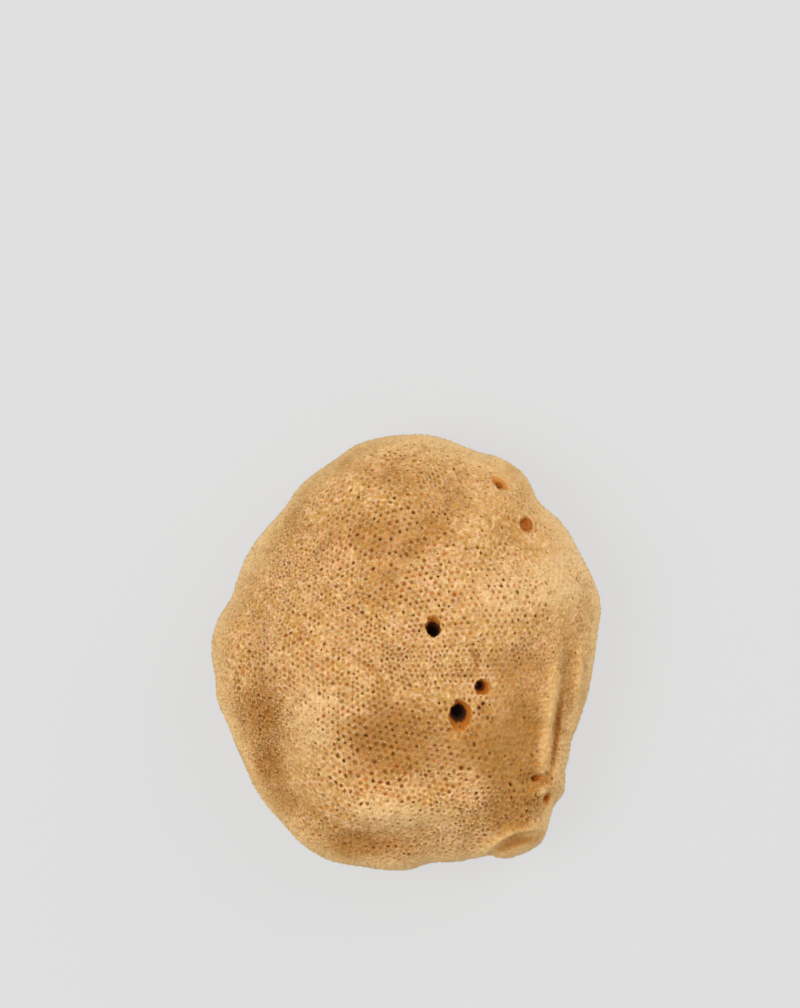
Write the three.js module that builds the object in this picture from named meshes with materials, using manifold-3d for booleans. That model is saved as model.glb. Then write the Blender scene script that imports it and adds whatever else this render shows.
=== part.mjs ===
// A natural bath sponge: one dome of springy fibre with a rolled rim, a pitted skin, a few wide
// outlet holes, folds down its right side, and a flat cut where it grew on the rock.
// Millimetres, +Z up. The origin is the middle of the flat cut, and +Y runs along its length.
import * as THREE from 'three';
import { mergeVertices } from 'three/addons/utils/BufferGeometryUtils.js';
import Module from 'manifold-3d';

const wasm = await Module();
wasm.setup();

// Driving dimensions of the whole body.
const HEIGHT = 48; // flat cut to the top of the dome
const RIM_HEIGHT = 16; // level at which the body is widest
const UNDERSIDE_DEPTH = 25; // how far the lower curve would run down if it weren't cut off
const DOME_FULLNESS = 2.35; // 2 is an ellipse, more is a flatter top with rounder shoulders
const UNDERSIDE_FULLNESS = 2.6;
const BODY_SHIFT = [-0.13, -0.06]; // brings the middle of the uneven body's box to the origin

// The relief: below which levels it fades out, and how much less the slow waves show along the rim.
const RELIEF_FADES_FROM = RIM_HEIGHT + 3;
const RELIEF_GONE_AT = RIM_HEIGHT - 5;
const RIM_CALM = 0.7;
const RIM_CALM_REACH = 8;

// How much of a push goes sideways and upwards: for the relief, and for pits, which go straight in.
const RELIEF_PUSH = { sideways: 0.25, upwards: 1.4 };
const PIT_PUSH = { sideways: 0.6, upwards: 1.4 };

// Skin pits: where the skin's points are, and how deep every pit goes.
const SKIN_STEPS = 19; // steps along each edge of the starting icosahedron
const RIM_COLATITUDE = THREE.MathUtils.degToRad(106); // more of the points go above the rim than below
const PIT_DEPTH = 1.7;
const PIT_DEPTH_SPREAD = 0.6;
const SKIN_JITTER = 0.011; // sideways wander of a point, as a share of the sphere's radius
const SKIN_ROUGHNESS = 0.25;

// The outline seen from above, anticlockwise from the rightmost point.
const OUTLINE = [
  [49.4, 12.8], [48.1, 18.2], [44.5, 25.2], [39.2, 33.5], [33.7, 39.0], [31.5, 44.1], [28.2, 47.8],
  [24.0, 50.0], [18.0, 51.4], [6.6, 54.9], [-2.0, 55.3], [-12.0, 53.2], [-17.6, 49.5], [-26.9, 42.3],
  [-31.2, 36.2], [-40.3, 25.1], [-43.1, 18.3], [-44.4, 13.7], [-47.1, 9.4], [-49.1, 3.6],
  [-49.3, -1.2], [-48.5, -6.5], [-48.1, -11.3], [-45.0, -19.2], [-37.5, -36.1], [-32.5, -42.5],
  [-26.6, -48.9], [-20.2, -52.9], [-10.1, -55.0], [0.5, -55.3], [3.4, -54.5], [7.0, -53.3],
  [14.0, -53.1], [20.3, -52.0], [26.6, -52.6], [34.9, -48.3], [36.7, -43.0], [37.8, -39.2],
  [40.5, -35.1], [40.8, -30.2], [41.9, -25.0], [42.3, -22.2], [46.2, -12.1], [48.4, 3.0],
];

// Swells and hollows of the top: the middle of each, how far it reaches along X and Y, and its rise.
const SWELLS = [
  { at: [-22, -13], reach: [8, 17], rise: 2.2 }, // long crest left of the middle
  { at: [-5, -39.5], reach: [12, 5], rise: 2.4 }, // crest above the bottom hollow
  { at: [21, 18], reach: [19, 9], rise: 1.8 }, // broad crest at the upper right
  { at: [10.5, -43], reach: [6, 8], rise: 1.2 },
  { at: [-8, 40], reach: [12, 5], rise: 1.3 },
  { at: [7, -2], reach: [14, 11], rise: 1.2 }, // middle of the dome
  { at: [-35.5, -12.5], reach: [6, 9], rise: -3.8 }, // deep hollow at the left
  { at: [-35, -27], reach: [4.5, 5], rise: -2.4 },
  { at: [-28.5, -36.5], reach: [6.5, 7], rise: -2.4 },
  { at: [-8, -47.5], reach: [13, 4.5], rise: -3.2 }, // trough along the bottom rim
  { at: [-5.5, -23], reach: [10, 8], rise: -2.8 }, // coarse-pored dip below the middle
  { at: [25, -35], reach: [8, 11], rise: -3.2 }, // dip inside the right lip
  { at: [30, -20], reach: [5.5, 13], rise: -2.4 },
  { at: [12.5, 42.5], reach: [6, 5], rise: -1.2 },
  { at: [-9, 26.5], reach: [9, 7], rise: -1.2 },
  { at: [25, 31], reach: [7, 6], rise: -1.6 }, // saddle beside the upper right outlet
  { at: [28, -2], reach: [8, 4], rise: -1.2 },
  { at: [-38, 7], reach: [4.5, 9], rise: -1.4 },
  { at: [25, 46], reach: [4.5, 3], rise: -1.3 }, // smooth ramp beside the slit
];

// Folds of the right side and the lower right corner: half width, then the line as [x, y, rise there].
const FOLDS = [
  { // smooth lip
    reach: 1.5,
    line: [[38.4, 6, 0], [38.0, 1, 0.7], [37.6, -5, 1.1], [37.1, -9.6, 1.4], [35.8, -17, 1.7],
      [35.3, -24, 1.7], [34.8, -29.3, 1.0]],
  },
  { // crease at the lip's foot
    reach: 0.9,
    line: [[40.2, 0, 0], [39.6, -6, -0.4], [39.1, -9.6, -1.0], [38.6, -14, -2.0], [38.1, -19.6, -2.6],
      [37.6, -23.5, -2.6], [36.9, -28, -2.2], [36.2, -31.5, -0.8]],
  },
  { // terrace between the two lips
    reach: 2.0,
    line: [[41.5, 6, 0], [41.3, 1, -0.7], [40.9, -6, -1.0], [40.4, -12, -0.9], [39.4, -19, -0.5]],
  },
  { // second lip
    reach: 1.0,
    line: [[43.9, 7, 0], [44.2, 1, 0.8], [43.9, -4.6, 1.4], [43.4, -9.6, 1.5], [42.8, -13.5, 1.4],
      [41.6, -18.5, 1.1], [40.6, -22, 0]],
  },
  { // its outer foot
    reach: 1.2,
    line: [[46.2, 0, 0], [45.4, -4.6, -1.1], [44.6, -9.6, -1.1], [43.9, -14, -0.7]],
  },
  { // overlap at the far right
    reach: 1.1,
    line: [[37, 24, 0], [40.5, 20.8, -0.6], [42.5, 19, -0.8], [44.5, 17.4, -0.8], [46.7, 15.8, -0.6]],
  },
  { // lip of the tucked fold
    reach: 1.3,
    line: [[17.5, -50.5, 0.6], [21.4, -48.8, 1.6], [23.9, -47.3, 2.0], [26.4, -45.6, 2.0],
      [29, -44.9, 1.8], [32, -44.6, 1.4], [34.5, -44.3, 0.6]],
  },
  { // the tucked fold itself
    reach: 1.3,
    line: [[19.5, -51.2, 0], [22.7, -49.8, -1.6], [25.2, -48.3, -2.4], [28.2, -47.2, -2.6],
      [31.3, -46.8, -2.0], [34.5, -46.2, -0.8]],
  },
  { reach: 1.1, line: [[31.5, -36.2, 0.8], [34.8, -34.7, 1.3], [36.5, -33.2, 0.8]] },
  { reach: 1.2, line: [[30.5, -31.6, -0.8], [33, -31.6, -1.8], [36, -31.4, -1.8]] }, // gutter
  { reach: 0.9, line: [[16.3, 3.2, -0.5], [16.8, 0.8, -0.9], [17.5, -0.8, -0.9], [17.8, -4, -0.6]] },
  { reach: 0.8, line: [[10.7, -5, -0.6], [13.7, -5, -1.0], [16.5, -4.4, -0.7]] },
];

// Wide outlet holes on top: an oval mouth, a funnel, and a round canal. shift is how far the canal's
// top is from the mouth's middle, and canal is its radius. Both depths are measured from the mouth.
const OUTLETS = [
  { at: [7.1, 7.6], radii: [2.1, 2.8], turn: 0, shift: [-0.1, -1.0], canal: 1.7, funnel: 3.0, depth: 8 },
  { at: [13.5, -14.9], radii: [3.1, 4.2], turn: 8, shift: [-0.5, 0.8], canal: 1.8, funnel: 3.2, depth: 9 },
  { at: [19.3, -7.8], radii: [2.2, 2.2], turn: 0, shift: [-0.7, 0.3], canal: 1.2, funnel: 2.6, depth: 5 },
  { at: [30.5, 32.4], radii: [2.0, 2.7], turn: 20, shift: [-0.4, 0.2], canal: 1.4, funnel: 2.0, depth: 2.8 },
  { at: [24.1, 43.3], radii: [3.6, 1.6], turn: -40, shift: [-0.6, -0.6], canal: 0.7, funnel: 1.3, depth: 2 },
  { at: [33.5, -31.7], radii: [2.2, 1.2], turn: 0, shift: [-1.0, 0], canal: 0.6, funnel: 1.3, depth: 2 },
  { at: [35.8, -36.9], radii: [1.2, 2.8], turn: -18, shift: [-0.2, 0], canal: 0.5, funnel: 1.2, depth: 1.8 },
];

// Canals that the flat cut opened, seen from below.
const CUT_CANALS = [
  { at: [14, 18], radii: [3.4, 2.8], turn: 20, shift: [-0.6, -0.6], canal: 2.0, funnel: 4, depth: 13 },
  { at: [-19, 11], radii: [2.6, 3.1], turn: 0, shift: [0.8, 0.2], canal: 1.8, funnel: 4, depth: 12 },
  { at: [-12, -24], radii: [3.0, 2.3], turn: -30, shift: [0.3, 0.9], canal: 1.6, funnel: 3, depth: 10 },
  { at: [22, -17], radii: [2.7, 3.3], turn: 10, shift: [-0.9, 0.3], canal: 1.9, funnel: 4, depth: 12 },
  { at: [3, 34], radii: [2.0, 1.8], turn: 0, shift: [0, -0.8], canal: 1.2, funnel: 2.5, depth: 8 },
  { at: [-29, -10], radii: [1.8, 2.2], turn: 15, shift: [0.8, 0], canal: 1.2, funnel: 2.5, depth: 7 },
  { at: [8, -35], radii: [2.2, 1.9], turn: 0, shift: [0, 0.8], canal: 1.3, funnel: 2.5, depth: 8 },
];
const CANAL_SIDES = 12;
const CANAL_END = 0.85; // share of the canal's length after which it closes to a point
const FLARE_HEIGHT = 4; // how far a canal's cutting shape stands out of the skin

const SPONGE_COLOUR = 0xd2a468;

// A repeatable stream of numbers from 0 to 1.
function randomStream(seed) {
  let state = seed;
  return () => {
    state = (state + 0x6d2b79f5) | 0;
    let t = Math.imul(state ^ (state >>> 15), 1 | state);
    t = (t + Math.imul(t ^ (t >>> 7), 61 | t)) ^ t;
    return ((t ^ (t >>> 14)) >>> 0) / 4294967296;
  };
}

const smoothstep = THREE.MathUtils.smoothstep;

// The outline as a smooth function: how far it is from the middle at an angle.
function makeOutlineRadius(points) {
  const knots = points
    .map(([x, y]) => ({ angle: Math.atan2(y, x), radius: Math.hypot(x, y) }))
    .sort((a, b) => a.angle - b.angle);
  const count = knots.length;
  const knot = (i) => {
    const turns = Math.floor(i / count);
    const k = knots[i - turns * count];
    return { angle: k.angle + turns * 2 * Math.PI, radius: k.radius };
  };
  const slope = (i) => {
    const before = knot(i - 1);
    const after = knot(i + 1);
    return (after.radius - before.radius) / (after.angle - before.angle);
  };
  return (angle) => {
    let i = knots.findIndex((k) => k.angle > angle) - 1;
    if (i === -2) i = count - 1;
    const from = knot(i);
    const to = knot(i + 1);
    const span = to.angle - from.angle;
    const t = (angle - from.angle) / span;
    return (
      (1 + 2 * t) * (1 - t) ** 2 * from.radius +
      t * (1 - t) ** 2 * span * slope(i) +
      t * t * (3 - 2 * t) * to.radius -
      t * t * (1 - t) * span * slope(i + 1)
    );
  };
}
const outlineRadius = makeOutlineRadius(OUTLINE);

// The rise of a fold at a place in plan: that of the nearest point of its line, less further away.
function foldRise(x, y, { reach, line }) {
  let nearest = Infinity;
  let rise = 0;
  for (let i = 0; i + 1 < line.length; i++) {
    const [ax, ay, fromRise] = line[i];
    const [bx, by, toRise] = line[i + 1];
    const along = THREE.MathUtils.clamp(
      ((x - ax) * (bx - ax) + (y - ay) * (by - ay)) / ((bx - ax) ** 2 + (by - ay) ** 2), 0, 1);
    const distance = Math.hypot(x - ax - along * (bx - ax), y - ay - along * (by - ay));
    if (distance < nearest) {
      nearest = distance;
      rise = fromRise + along * (toRise - fromRise);
    }
  }
  return rise * Math.exp(-((nearest / reach) ** 2));
}

// Slow waves, a few millimetres long, that keep every stretch of the body from being a perfect curve.
function undulation(x, y, z) {
  return (
    0.55 * Math.sin(x / 7.3 + 0.8) * Math.cos(y / 8.1 - 0.4) +
    0.4 * Math.sin(x / 4.1 - y / 5.3 + z / 4.7) +
    0.35 * Math.cos(y / 3.9 + z / 5.2 + 1.3)
  );
}

// How far the skin stands above or below the plain dome at a point of it.
function relief(x, y, z) {
  const calm = RIM_CALM * Math.exp(-(((z - RIM_HEIGHT) / RIM_CALM_REACH) ** 2));
  let rise = undulation(x, y, z) * (1 - calm);
  const upper = smoothstep(z, RELIEF_GONE_AT, RELIEF_FADES_FROM);
  for (const { at, reach, rise: height } of SWELLS) {
    rise += upper * height * Math.exp(-(((x - at[0]) / reach[0]) ** 2) - ((y - at[1]) / reach[1]) ** 2);
  }
  for (const fold of FOLDS) {
    rise += upper * foldRise(x, y, fold);
  }
  return rise;
}

function outwards(plain, { sideways, upwards }) {
  return new THREE.Vector3(
    sideways * plain.x, sideways * plain.y, upwards * (plain.z - RIM_HEIGHT)).normalize();
}

// A point of the body's skin for a direction from its middle, pushed out by `lift`.
function skinPoint(direction, lift) {
  const colatitude = Math.acos(THREE.MathUtils.clamp(direction.z, -1, 1));
  const angle = Math.atan2(direction.y, direction.x);
  const upper = colatitude <= RIM_COLATITUDE;
  const quarter = upper
    ? (colatitude / RIM_COLATITUDE) * (Math.PI / 2)
    : ((Math.PI - colatitude) / (Math.PI - RIM_COLATITUDE)) * (Math.PI / 2);
  const fullness = upper ? DOME_FULLNESS : UNDERSIDE_FULLNESS;
  const reach = outlineRadius(angle) * Math.max(Math.sin(quarter), 0) ** (2 / fullness);
  const climb = Math.max(Math.cos(quarter), 0) ** (2 / fullness);
  const height = RIM_HEIGHT + climb * (upper ? HEIGHT - RIM_HEIGHT : -UNDERSIDE_DEPTH);
  const plain = new THREE.Vector3(reach * Math.cos(angle), reach * Math.sin(angle), height);
  const rise = relief(plain.x, plain.y, plain.z);
  return plain.clone()
    .addScaledVector(outwards(plain, RELIEF_PUSH), rise)
    .addScaledVector(outwards(plain, PIT_PUSH), lift);
}

// The height of the dome's skin over a place in plan.
function topHeight(x, y) {
  const share = Math.hypot(x, y) / outlineRadius(Math.atan2(y, x));
  const plain = RIM_HEIGHT + (HEIGHT - RIM_HEIGHT) * (1 - share ** DOME_FULLNESS) ** (1 / DOME_FULLNESS);
  return plain + relief(x, y, plain);
}

// Which points of the skin are pit bottoms: taken in a shuffled order, no two of them neighbours.
function choosePits(geometry, random) {
  const count = geometry.attributes.position.count;
  const neighbours = Array.from({ length: count }, () => new Set());
  const corners = geometry.index.array;
  for (let i = 0; i < corners.length; i += 3) {
    for (let k = 0; k < 3; k++) {
      neighbours[corners[i + k]].add(corners[i + ((k + 1) % 3)]).add(corners[i + ((k + 2) % 3)]);
    }
  }
  const order = Array.from({ length: count }, (_, i) => i);
  for (let i = count - 1; i > 0; i--) {
    const j = Math.floor(random() * (i + 1));
    [order[i], order[j]] = [order[j], order[i]];
  }
  const isPit = new Array(count).fill(false);
  for (const i of order) {
    isPit[i] = ![...neighbours[i]].some((n) => isPit[n]);
  }
  return isPit;
}

// The whole lump as it grew, before the cut and the holes.
function grownLump() {
  const random = randomStream(20260);
  const geometry = new THREE.IcosahedronGeometry(1, SKIN_STEPS);
  geometry.deleteAttribute('normal');
  geometry.deleteAttribute('uv');
  const lump = mergeVertices(geometry, 1e-4);
  const isPit = choosePits(lump, random);
  const position = lump.attributes.position;
  const direction = new THREE.Vector3();
  const wander = () => (random() - 0.5) * 2 * SKIN_JITTER;
  for (let i = 0; i < position.count; i++) {
    direction.fromBufferAttribute(position, i);
    direction.add(new THREE.Vector3(wander(), wander(), wander())).normalize();
    const spread = random() - 0.5;
    const lift = isPit[i] ? -PIT_DEPTH - spread * 2 * PIT_DEPTH_SPREAD : spread * 2 * SKIN_ROUGHNESS;
    const point = skinPoint(direction, lift);
    position.setXYZ(i, point.x, point.y, point.z);
  }
  return lump;
}

// A hole as a closed cutting shape: flared above its mouth, then down the funnel and the canal.
function canalShape({ at, radii, turn, shift, canal, funnel, depth }, mouthHeight, downward) {
  const rings = [
    { grow: 1.2, inwards: 0, down: -FLARE_HEIGHT, along: 0 },
    { grow: 1.15, inwards: 0, down: -0.3 * FLARE_HEIGHT, along: 0 },
    { grow: 1, inwards: 0, down: 0, along: 0 },
    { grow: 1, inwards: 0.45, down: 0.42 * funnel, along: 0 },
    { grow: 1, inwards: 1, down: funnel, along: 0 },
    { grow: 1, inwards: 1, down: funnel + CANAL_END * (depth - funnel), along: CANAL_END },
  ];
  const middle = new THREE.Vector2();
  const shiftBy = new THREE.Vector2(...shift);
  const points = [[0, 0, FLARE_HEIGHT]];
  for (const { grow, inwards, down, along } of rings) {
    for (let side = 0; side < CANAL_SIDES; side++) {
      const angle = (side / CANAL_SIDES) * 2 * Math.PI;
      const mouth = new THREE.Vector2(radii[0] * Math.cos(angle), radii[1] * Math.sin(angle))
        .rotateAround(middle, THREE.MathUtils.degToRad(turn));
      const onCanal = mouth.clone().setLength(canal).addScaledVector(shiftBy, 1 + along);
      const place = mouth.multiplyScalar(grow).lerp(onCanal, inwards);
      points.push([place.x, place.y, -down]);
    }
  }
  points.push([2 * shift[0], 2 * shift[1], -depth]);
  const shape = new THREE.BufferGeometry();
  shape.setAttribute('position', new THREE.Float32BufferAttribute(points.flat(), 3));
  shape.setIndex(ringFaces(rings.length, CANAL_SIDES, points.length - 1));
  if (!downward) {
    shape.scale(1, 1, -1);
    reverseFaces(shape);
  }
  shape.translate(at[0], at[1], mouthHeight);
  return shape;
}

// Faces for a stack of rings that starts at point 0 and ends at the last point.
function ringFaces(ringCount, sides, last) {
  const faces = [];
  const at = (ring, side) => 1 + ring * sides + (side % sides);
  for (let side = 0; side < sides; side++) {
    faces.push(0, at(0, side), at(0, side + 1));
    for (let ring = 0; ring + 1 < ringCount; ring++) {
      faces.push(at(ring, side), at(ring + 1, side), at(ring + 1, side + 1));
      faces.push(at(ring, side), at(ring + 1, side + 1), at(ring, side + 1));
    }
    faces.push(at(ringCount - 1, side), last, at(ringCount - 1, side + 1));
  }
  return faces;
}

// Turns every face of a mirrored shape outwards again.
function reverseFaces(geometry) {
  const corners = geometry.index.array;
  for (let i = 0; i < corners.length; i += 3) {
    [corners[i], corners[i + 1]] = [corners[i + 1], corners[i]];
  }
}

function toSolid(geometry) {
  geometry.deleteAttribute('normal');
  geometry.deleteAttribute('uv');
  const merged = mergeVertices(geometry, 1e-4);
  return new wasm.Manifold(new wasm.Mesh({
    numProp: 3,
    vertProperties: new Float32Array(merged.attributes.position.array),
    triVerts: new Uint32Array(merged.index.array),
  }));
}

function toGeometry(solid) {
  const mesh = solid.getMesh();
  const geometry = new THREE.BufferGeometry();
  geometry.setAttribute('position', new THREE.BufferAttribute(mesh.vertProperties, 3));
  geometry.setIndex(new THREE.BufferAttribute(mesh.triVerts, 1));
  geometry.computeVertexNormals();
  return geometry;
}

// Everything below the level at which the sponge was cut from the rock.
function rockSide() {
  const size = 4 * HEIGHT;
  const box = new THREE.BoxGeometry(size, size, size);
  box.translate(0, 0, -size / 2);
  return box;
}

function makeSponge() {
  let solid = toSolid(grownLump());
  solid = solid.subtract(toSolid(rockSide()));
  for (const outlet of OUTLETS) {
    const mouth = topHeight(outlet.at[0], outlet.at[1]);
    solid = solid.subtract(toSolid(canalShape(outlet, mouth, true)));
  }
  for (const canal of CUT_CANALS) {
    solid = solid.subtract(toSolid(canalShape(canal, 0, false)));
  }
  const material = new THREE.MeshStandardMaterial({ color: SPONGE_COLOUR, roughness: 0.95, metalness: 0 });
  const sponge = new THREE.Mesh(toGeometry(solid), material);
  sponge.name = 'sponge';
  sponge.position.set(BODY_SHIFT[0], BODY_SHIFT[1], 0);
  return sponge;
}

const group = new THREE.Group();
group.add(makeSponge());

export default group;
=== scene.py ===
# %% [markdown]
# # A bath sponge, seen from straight above
# The sponge is one springy lump of horny fibre. Its skin is a net of low walls round thousands of
# small dimples, and about one dimple in six runs on down as a dark pore. A few wide holes are the
# outlets through which the living sponge pumped its water out. This lesson builds the lump from the
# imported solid's own driving dimensions and then gives it the fine net that the solid leaves out.

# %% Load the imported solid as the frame
import math
import bmesh
import bpy
import numpy as np
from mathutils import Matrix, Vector


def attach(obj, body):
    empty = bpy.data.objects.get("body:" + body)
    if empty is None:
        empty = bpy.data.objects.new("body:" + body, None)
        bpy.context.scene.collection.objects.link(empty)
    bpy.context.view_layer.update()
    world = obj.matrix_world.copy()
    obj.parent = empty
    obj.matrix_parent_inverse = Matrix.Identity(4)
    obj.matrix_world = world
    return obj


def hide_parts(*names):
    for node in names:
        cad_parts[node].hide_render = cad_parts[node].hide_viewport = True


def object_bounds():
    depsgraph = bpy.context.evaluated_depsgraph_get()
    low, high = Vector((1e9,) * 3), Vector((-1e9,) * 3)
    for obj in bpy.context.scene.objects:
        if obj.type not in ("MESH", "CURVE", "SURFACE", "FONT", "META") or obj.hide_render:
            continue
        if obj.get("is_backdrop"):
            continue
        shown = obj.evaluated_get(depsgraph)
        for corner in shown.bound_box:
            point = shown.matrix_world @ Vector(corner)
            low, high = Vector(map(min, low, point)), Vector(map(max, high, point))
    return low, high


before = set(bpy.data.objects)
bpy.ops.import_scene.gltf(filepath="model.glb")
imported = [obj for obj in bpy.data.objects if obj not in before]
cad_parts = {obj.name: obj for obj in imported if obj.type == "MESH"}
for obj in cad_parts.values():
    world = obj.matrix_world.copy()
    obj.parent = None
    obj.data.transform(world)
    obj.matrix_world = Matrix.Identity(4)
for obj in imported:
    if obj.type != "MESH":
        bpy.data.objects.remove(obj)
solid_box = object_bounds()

MM = 0.001
print("solid's box in mm:", [[round(value / MM, 1) for value in corner] for corner in solid_box])

# %% [markdown]
# ## The camera
# The photograph looks straight down on a sponge that lies below the middle of a tall frame. A long
# lens from far away keeps the dome's top from looking bigger than its rim. A shift of the lens could
# bring the sponge down in the frame, but standing the camera over the frame's middle needs none.

# %% Stand the camera over the middle of the photograph's frame
LENS = 200 * MM
SENSOR = 36 * MM
FRAME_LENGTH = 256 * MM  # the long side of the photograph, measured at the sponge's rim
FRAME_MIDDLE = (-1.5 * MM, 37.7 * MM)
RIM_HEIGHT = 16.0


def add_object(name, data):
    made = bpy.data.objects.new(name, data)
    bpy.context.scene.collection.objects.link(made)
    return made


camera = add_object("camera", bpy.data.cameras.new("camera"))
camera.data.lens = LENS / MM
camera.data.sensor_width = SENSOR / MM
camera_height = RIM_HEIGHT * MM + FRAME_LENGTH * LENS / SENSOR
camera.location = (*FRAME_MIDDLE, camera_height)
bpy.context.scene.camera = camera
print(f"camera {camera_height:.2f} m above the floor")

# %% [markdown]
# ## The lump's form
# The solid was drawn from an outline, a dome profile, soft swells and hollows, and folds along lines.
# The visual sponge could be wrapped onto the solid's facets, but those are as coarse as its pits. It
# is made from the same few values instead, so it has the same form at any fineness. They are in
# millimetres, and the finished mesh is scaled to metres at the end.

# %% The body's driving dimensions
HEIGHT = 48.0
UNDERSIDE_DEPTH = 25.0
DOME_FULLNESS = 2.35
UNDERSIDE_FULLNESS = 2.6
BODY_SHIFT = (-0.13, -0.06, 0.0)  # brings the middle of the uneven body's box to the origin
RELIEF_FADES_FROM = RIM_HEIGHT + 3
RELIEF_GONE_AT = RIM_HEIGHT - 5
PUSH_SIDEWAYS = 0.25
PUSH_UPWARDS = 1.4
RIM_CALM = 0.7  # share of the slow waves that the rim goes without
RIM_CALM_REACH = 8.0
BAND_HEIGHTS = (1, 21)  # the rim's smooth band fades out downwards between these heights,
WAVY_EDGE = 3.0  # which the slow waves carry up and down this far
ON_CUT = 0.01  # what is lower than this lies on the flat cut,
CLEAR_OF_CUT = 1.0  # and what is higher than this is well away from it

# The outline seen from above, anticlockwise from the rightmost point.
OUTLINE = [
    (49.4, 12.8), (48.1, 18.2), (44.5, 25.2), (39.2, 33.5), (33.7, 39.0), (31.5, 44.1), (28.2, 47.8),
    (24.0, 50.0), (18.0, 51.4), (6.6, 54.9), (-2.0, 55.3), (-12.0, 53.2), (-17.6, 49.5), (-26.9, 42.3),
    (-31.2, 36.2), (-40.3, 25.1), (-43.1, 18.3), (-44.4, 13.7), (-47.1, 9.4), (-49.1, 3.6),
    (-49.3, -1.2), (-48.5, -6.5), (-48.1, -11.3), (-45.0, -19.2), (-37.5, -36.1), (-32.5, -42.5),
    (-26.6, -48.9), (-20.2, -52.9), (-10.1, -55.0), (0.5, -55.3), (3.4, -54.5), (7.0, -53.3),
    (14.0, -53.1), (20.3, -52.0), (26.6, -52.6), (34.9, -48.3), (36.7, -43.0), (37.8, -39.2),
    (40.5, -35.1), (40.8, -30.2), (41.9, -25.0), (42.3, -22.2), (46.2, -12.1), (48.4, 3.0),
]

# Swells and hollows: (middle), (reach along X and Y), rise.
SWELLS = [
    ((-22, -13), (8, 17), 2.2),  # long crest left of the middle
    ((-5, -39.5), (12, 5), 2.4),  # crest above the bottom hollow
    ((21, 18), (19, 9), 1.8),  # broad crest at the upper right
    ((10.5, -43), (6, 8), 1.2),
    ((-8, 40), (12, 5), 1.3),
    ((7, -2), (14, 11), 1.2),  # middle of the dome
    ((-35.5, -12.5), (6, 9), -3.8),  # deep hollow at the left
    ((-35, -27), (4.5, 5), -2.4),
    ((-28.5, -36.5), (6.5, 7), -2.4),
    ((-8, -47.5), (13, 4.5), -3.2),  # trough along the bottom rim
    ((-5.5, -23), (10, 8), -2.8),  # coarse-pored dip below the middle
    ((25, -35), (8, 11), -3.2),  # dip inside the right lip
    ((30, -20), (5.5, 13), -2.4),
    ((12.5, 42.5), (6, 5), -1.2),
    ((-9, 26.5), (9, 7), -1.2),
    ((25, 31), (7, 6), -1.6),  # saddle beside the upper right outlet
    ((28, -2), (8, 4), -1.2),
    ((-38, 7), (4.5, 9), -1.4),
    ((25, 46), (4.5, 3), -1.3),  # smooth ramp beside the slit
]

# Folds of the right side and the lower right corner: half width, then the line as (x, y, rise there).
FOLDS = [
    (1.5, [(38.4, 6, 0), (38.0, 1, 0.7), (37.6, -5, 1.1), (37.1, -9.6, 1.4), (35.8, -17, 1.7),
           (35.3, -24, 1.7), (34.8, -29.3, 1.0)]),  # smooth lip
    (0.9, [(40.2, 0, 0), (39.6, -6, -0.4), (39.1, -9.6, -1.0), (38.6, -14, -2.0), (38.1, -19.6, -2.6),
           (37.6, -23.5, -2.6), (36.9, -28, -2.2), (36.2, -31.5, -0.8)]),  # crease at the lip's foot
    (2.0, [(41.5, 6, 0), (41.3, 1, -0.7), (40.9, -6, -1.0), (40.4, -12, -0.9), (39.4, -19, -0.5)]),
    (1.0, [(43.9, 7, 0), (44.2, 1, 0.8), (43.9, -4.6, 1.4), (43.4, -9.6, 1.5), (42.8, -13.5, 1.4),
           (41.6, -18.5, 1.1), (40.6, -22, 0)]),  # second lip
    (1.2, [(46.2, 0, 0), (45.4, -4.6, -1.1), (44.6, -9.6, -1.1), (43.9, -14, -0.7)]),
    (1.1, [(37, 24, 0), (40.5, 20.8, -0.6), (42.5, 19, -0.8), (44.5, 17.4, -0.8), (46.7, 15.8, -0.6)]),
    (1.3, [(17.5, -50.5, 0.6), (21.4, -48.8, 1.6), (23.9, -47.3, 2.0), (26.4, -45.6, 2.0),
           (29, -44.9, 1.8), (32, -44.6, 1.4), (34.5, -44.3, 0.6)]),  # lip of the tucked fold
    (1.3, [(19.5, -51.2, 0), (22.7, -49.8, -1.6), (25.2, -48.3, -2.4), (28.2, -47.2, -2.6),
           (31.3, -46.8, -2.0), (34.5, -46.2, -0.8)]),
    (1.1, [(31.5, -36.2, 0.8), (34.8, -34.7, 1.3), (36.5, -33.2, 0.8)]),
    (1.2, [(30.5, -31.6, -0.8), (33, -31.6, -1.8), (36, -31.4, -1.8)]),  # gutter above it
    (0.9, [(16.3, 3.2, -0.5), (16.8, 0.8, -0.9), (17.5, -0.8, -0.9), (17.8, -4, -0.6)]),  # seam
    (0.8, [(10.7, -5, -0.6), (13.7, -5, -1.0), (16.5, -4.4, -0.7)]),
]

# %% Functions of the form
def knots_of_outline():
    """The outline's points as angles and radii, with a few repeated past each end of the turn."""
    points = np.array(OUTLINE)
    angle = np.arctan2(points[:, 1], points[:, 0])
    order = np.argsort(angle)
    angle = angle[order]
    radius = np.hypot(points[:, 0], points[:, 1])[order]
    turn = 2 * math.pi
    angle = np.concatenate([angle[-2:] - turn, angle, angle[:2] + turn])
    return angle, np.concatenate([radius[-2:], radius, radius[:2]])


KNOT_ANGLE, KNOT_RADIUS = knots_of_outline()
KNOT_SLOPE = np.gradient(KNOT_RADIUS)
KNOT_SLOPE[1:-1] = (KNOT_RADIUS[2:] - KNOT_RADIUS[:-2]) / (KNOT_ANGLE[2:] - KNOT_ANGLE[:-2])


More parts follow.
